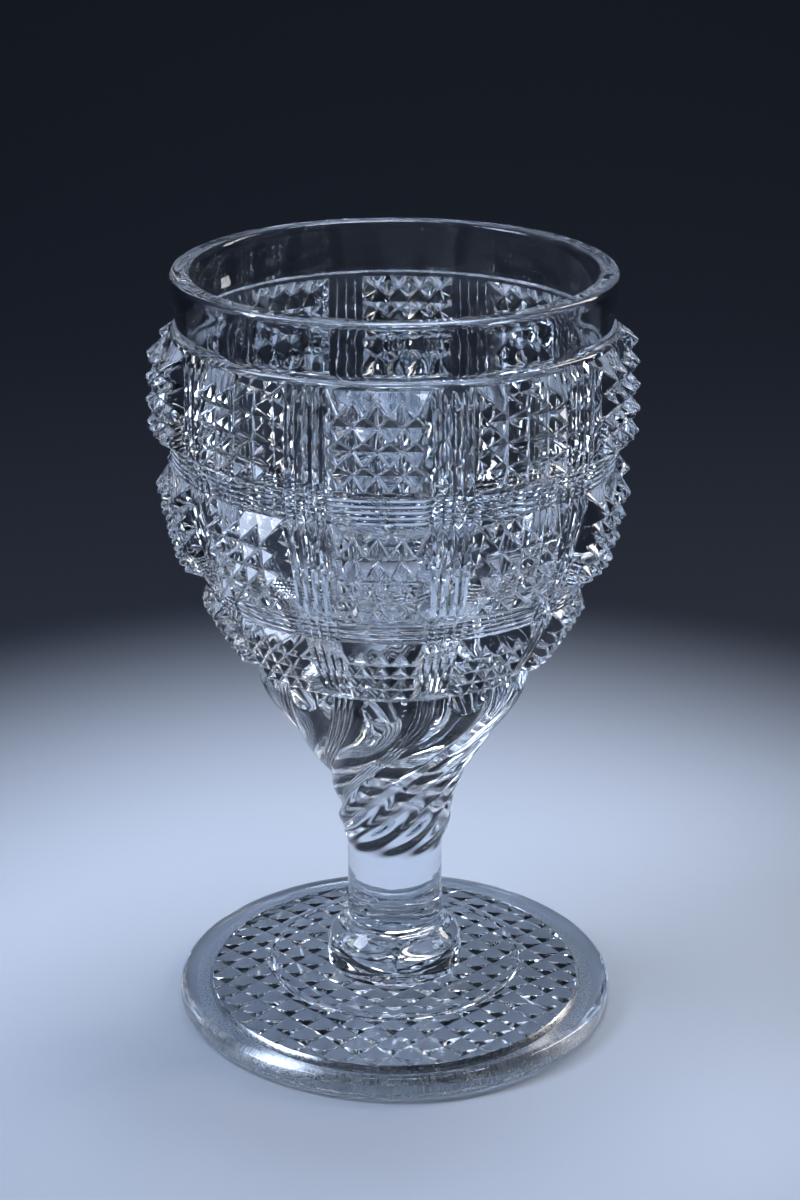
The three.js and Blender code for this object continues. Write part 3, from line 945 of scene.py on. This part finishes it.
def foot_section():
    rest_out = REST_IN_R + REST_W
    widest = (FOOT_R, FOOT_EDGE_T * FOOT_WIDEST)
    edge_top = (FOOT_R - FOOT_EDGE_W, FOOT_EDGE_T)
    slope_end = FOOT_T - MOULD_STEP
    roof = FIELD_ROOF + PLATE_OVERLAP
    points = [(0.0, roof), (REST_IN_R - RECESS_DRAFT, roof), (REST_IN_R, 0.0)]
    points += straight(points[-1], (rest_out, 0.0), parts=2)
    rest_handle = (mix(rest_out, FOOT_R, 0.8), 0.0)
    edge_handle = (FOOT_R, widest[1] * 0.2)
    points += bezier([(rest_out, 0.0), rest_handle, edge_handle, widest], parts=10)
    points += quadratic(widest, (FOOT_R, FOOT_EDGE_T - FOOT_EDGE_EASE), edge_top, parts=10)
    points += straight(points[-1], (MOULD_RING_R + MOULD_RING_W, slope_end), parts=8)
    for aside, share, rise in MOULD_RIDGES:
        step = mix(slope_end, FOOT_T, share)
        points.append((MOULD_RING_R + aside, step + rise * MOULD_RING_H))
    points += straight(points[-1], (COLLAR_R - COLLAR_FOOT_IN, FOOT_T), parts=4)
    points.append((0.0, FOOT_T))
    last = len(points) - 1
    return plain_section("foot_section", points, seams=(last - 1, last))


def diamond_line():
    """[place, 0, level] across the diamond points: narrow flat grooves and blunted tips."""
    cells = 2 * math.ceil(FIELD_R / FIELD_PITCH) + 2
    half = cells * FIELD_PITCH / 2
    line = []
    for i in range(cells):
        low = i * FIELD_PITCH - half
        line += [
            (low, FIELD_ROOF),
            (low + FIELD_GROOVE, FIELD_ROOF),
            (low + FIELD_PITCH / 2 - TIP_BLUNT_W, FIELD_TIP + TIP_BLUNT_H),
            (low + FIELD_PITCH / 2, FIELD_TIP),
            (low + FIELD_PITCH / 2 + TIP_BLUNT_W, FIELD_TIP + TIP_BLUNT_H),
            (low + FIELD_PITCH - FIELD_GROOVE, FIELD_ROOF),
        ]
    line.append((half, FIELD_ROOF))
    return template("diamond_line", [(x * MM, 0.0, z * MM) for x, z in line])


# The four pieces

finish = {
    "wave_height": WAVE_HEIGHT * MM,
    "wave_length": WAVE_LENGTH * MM,
    "crease": math.radians(CREASE_TURN),
    "seam": fused_seam(),
}
pressed = {"tree": pressed_skin_tree(), "groove": STUD_GROOVE * MM, "hip_climb": HIP_CLIMB * MM}

bowl = grow(
    "bowl_glass",
    round_hips=HIP_ROUND * MM,
    around=bowl_around(),
    section=bowl_section(),
    glass=crystal("pressed_lead_crystal_bowl", bowl_wear),
    **pressed,
    **finish,
)
collar = grow(
    "collar_glass",
    around=plain_round("collar_around", COLLAR_PARTS),
    section=collar_section(),
    glass=crystal("tooled_lead_crystal_collar", tool_marks=0.35),
    **pressed,
    **finish,
)
stem = grow(
    "twisted_stem_glass",
    twisted_stem_tree(),
    around=stem_around(),
    section=stem_section(),
    front=math.radians(FRONT),
    top=BOWL_Z * MM,
    twist_end=TWIST_END_Z * MM,
    flute_full=FLUTE_FULL_Z * MM,
    twist=math.radians(TWIST),
    twist_growth=TWIST_GROWTH,
    flute_dip=FLUTE_DIP * MM,
    ribs_start=RIBS_START,
    ribs_end=RIBS_END,
    scallop_radius=SCALLOP_R * MM,
    scallop_centre=SCALLOP_CENTRE * MM,
    scallop_turn=math.radians(PERIOD / 2),
    scallop_edge=SCALLOP_EDGE * MM,
    glass=crystal("twisted_lead_crystal_stem", tool_marks=0.15),
    **finish,
)
foot = grow(
    "foot_glass",
    foot_tree(),
    around=plain_round("foot_around", FOOT_PARTS),
    section=foot_section(),
    diamond_line=diamond_line(),
    plate_back=mix(FIELD_ROOF, FOOT_EDGE_T, PLATE_BACK) * MM,
    field_radius=FIELD_R * MM,
    field_turn=math.radians(FIELD_TURN),
    glass=crystal("pressed_lead_crystal_foot", foot_wear),
    **finish,
)

for piece, node, slot in (
    (bowl, "bowl", "bowl_glass"),
    (stem, "twisted_stem", "stem_glass"),
    (collar, "collar", "collar_glass"),
    (foot, "foot", "foot_glass"),
):
    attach(piece, "root")
    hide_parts(node)


# Floor, light and camera, in metres

ROOM_DARK = "#0B0E12"


def studio_sheet():
    """A matt paper sheet, swept up behind: a painted pool of light, pale round the foot, and
    painted shade to slate further out.
    """
    wide, front, bend, high = 6.0, -6.0, 0.45, 4.0
    radius, bend_parts = 0.5, 16
    below = -0.03 * MM
    line = [(front, 0.0), (bend, 0.0)]
    for i in range(1, bend_parts + 1):
        turn = math.pi / 2 * i / bend_parts
        line.append((bend + radius * math.sin(turn), radius * (1 - math.cos(turn))))
    line.append((bend + radius, high))
    points = [(x, y, z + below) for y, z in line for x in (-wide, wide)]
    faces = [(2 * i, 2 * i + 1, 2 * i + 3, 2 * i + 2) for i in range(len(line) - 1)]
    mesh = bpy.data.meshes.new("studio_sheet")
    mesh.from_pydata(points, [], faces)
    mesh.shade_smooth()
    sheet = bpy.data.objects.new("studio_sheet", mesh)
    scene.collection.objects.link(sheet)
    material = bpy.data.materials.new("matt_graduated_paper")
    tree = bare_tree(material)
    place = add(tree, "ShaderNodeTexCoord").outputs["Object"]
    away = add(tree, VECTOR, [place], operation="LENGTH").outputs["Value"]
    # Painted shade for the glass: rays other than the camera's see the paper painted dark sooner,
    # so the facets keep their contrast.
    painted_pool_end, painted_dark_for_glass, painted_dark_for_camera = 0.07, 0.14, 0.23
    ray = add(tree, "ShaderNodeLightPath").outputs
    end = add(
        tree,
        RANGE,
        {"Value": ray["Is Camera Ray"], "To Min": painted_dark_for_glass, "To Max": painted_dark_for_camera},
    )
    shade = add(
        tree,
        RANGE,
        {"Value": away, "From Min": painted_pool_end, "From Max": end},
        interpolation_type="SMOOTHSTEP",
    )
    # Painted light: the paper's colour is a pale pool round the foot that fades into painted shade.
    paper = add(
        tree,
        MIX,
        {"Factor": shade, "A": linear("#C6CDD7"), "B": linear("#111926")},
        data_type="RGBA",
    )
    skin = add(tree, "ShaderNodeBsdfPrincipled", {"Base Color": paper, "Roughness": 0.8})
    add(tree, "ShaderNodeOutputMaterial", {"Surface": skin})
    mesh.materials.append(material)


def studio_world():
    """Soft light all round. The glass sees it pale low down and dark above, as in a studio."""
    world = bpy.data.worlds.new("studio")
    scene.world = world
    tree = bare_tree(world)
    way = add(tree, "ShaderNodeTexCoord").outputs["Generated"]
    ramp = add(tree, "ShaderNodeValToRGB", [add(tree, SPLIT, [way]).outputs["Z"]])
    stops = ramp.color_ramp.elements
    pale_up_to, dark_from = 0.03, 0.22
    stops[0].position, stops[0].color = pale_up_to, linear("#5A626C")
    stops[1].position, stops[1].color = dark_from, linear(ROOM_DARK)
    ray = add(tree, "ShaderNodeLightPath").outputs
    # Past the edge of the sheet the room itself is plain and dark.
    room = add(
        tree,
        MIX,
        {"Factor": ray["Is Camera Ray"], "A": ramp, "B": linear(ROOM_DARK)},
        data_type="RGBA",
    )
    seen = add(tree, "ShaderNodeBackground", {"Color": room, "Strength": 1.0})
    light = add(tree, "ShaderNodeBackground", {"Color": linear("#E2ECFB"), "Strength": 0.25})
    looks = ray["Is Camera Ray"]
    for kind in ("Is Glossy Ray", "Is Transmission Ray"):
        looks = add(tree, MATH, [looks, ray[kind]], operation="MAXIMUM")
    # Light that reaches the table through the glass is still the soft light.
    straight_on = add(tree, MATH, [ray["Diffuse Depth"], 0.5], operation="LESS_THAN")
    looks = add(tree, MATH, [looks, straight_on], operation="MULTIPLY")
    both = add(tree, "ShaderNodeMixShader", [looks, light, seen])
    add(tree, "ShaderNodeOutputWorld", {"Surface": both})


def softbox(name, place, aim_at, size, power, colour):
    """A lamp behind white cloth, turned to a height on the axis of the glass."""
    lamp = bpy.data.lights.new(name, "AREA")
    lamp.shape = "RECTANGLE"
    lamp.size, lamp.size_y = size
    lamp.energy = power
    lamp.color = linear(colour)[:3]
    box = bpy.data.objects.new(name, lamp)
    scene.collection.objects.link(box)
    box.location = place
    aim = [t - p for t, p in zip((0, 0, aim_at), place)]
    across = math.hypot(aim[0], aim[1])
    box.rotation_euler = (math.atan2(across, -aim[2]), 0.0, math.atan2(-aim[0], aim[1]))


def photo_camera():
    """Stands where the ellipses of rim and foot in the photograph put it."""
    away, high = 459.4 * MM, 261.6 * MM
    aside, pitch = math.radians(3.85), math.radians(21.06)
    film = 36.0
    focal_pixels, shift_pixels, long_side_pixels = 2572, 5.3, 1200
    data = bpy.data.cameras.new("camera")
    data.sensor_width = film
    data.lens = focal_pixels / long_side_pixels * film
    data.shift_x = shift_pixels / long_side_pixels
    data.clip_start, data.clip_end = 0.01, 50.0
    camera = bpy.data.objects.new("camera", data)
    scene.collection.objects.link(camera)
    camera.location = (away * math.sin(aside), -away * math.cos(aside), high)
    camera.rotation_euler = (math.pi / 2 - pitch, 0.0, aside)
    scene.camera = camera


studio_sheet()
studio_world()
softbox(
    "key_window",
    place=(-0.42, -0.1, 0.52),
    aim_at=0.06,
    size=(0.2, 0.35),
    power=2.6,
    colour="#D3E2FF",
)
softbox(
    "back_strip",
    place=(0.45, 0.25, 0.4),
    aim_at=0.08,
    size=(0.08, 0.4),
    power=1.0,
    colour="#FFF6EC",
)
softbox(
    "top_box",
    place=(0.05, 0.12, 0.62),
    aim_at=0.0,
    size=(0.24, 0.24),
    power=2.2,
    colour="#E0EBFF",
)
photo_camera()

scene.view_settings.view_transform = "Standard"
# Light goes through many walls of clear glass on its way.
scene.cycles.max_bounces = 24
scene.cycles.transmission_bounces = 24
scene.cycles.glossy_bounces = 16
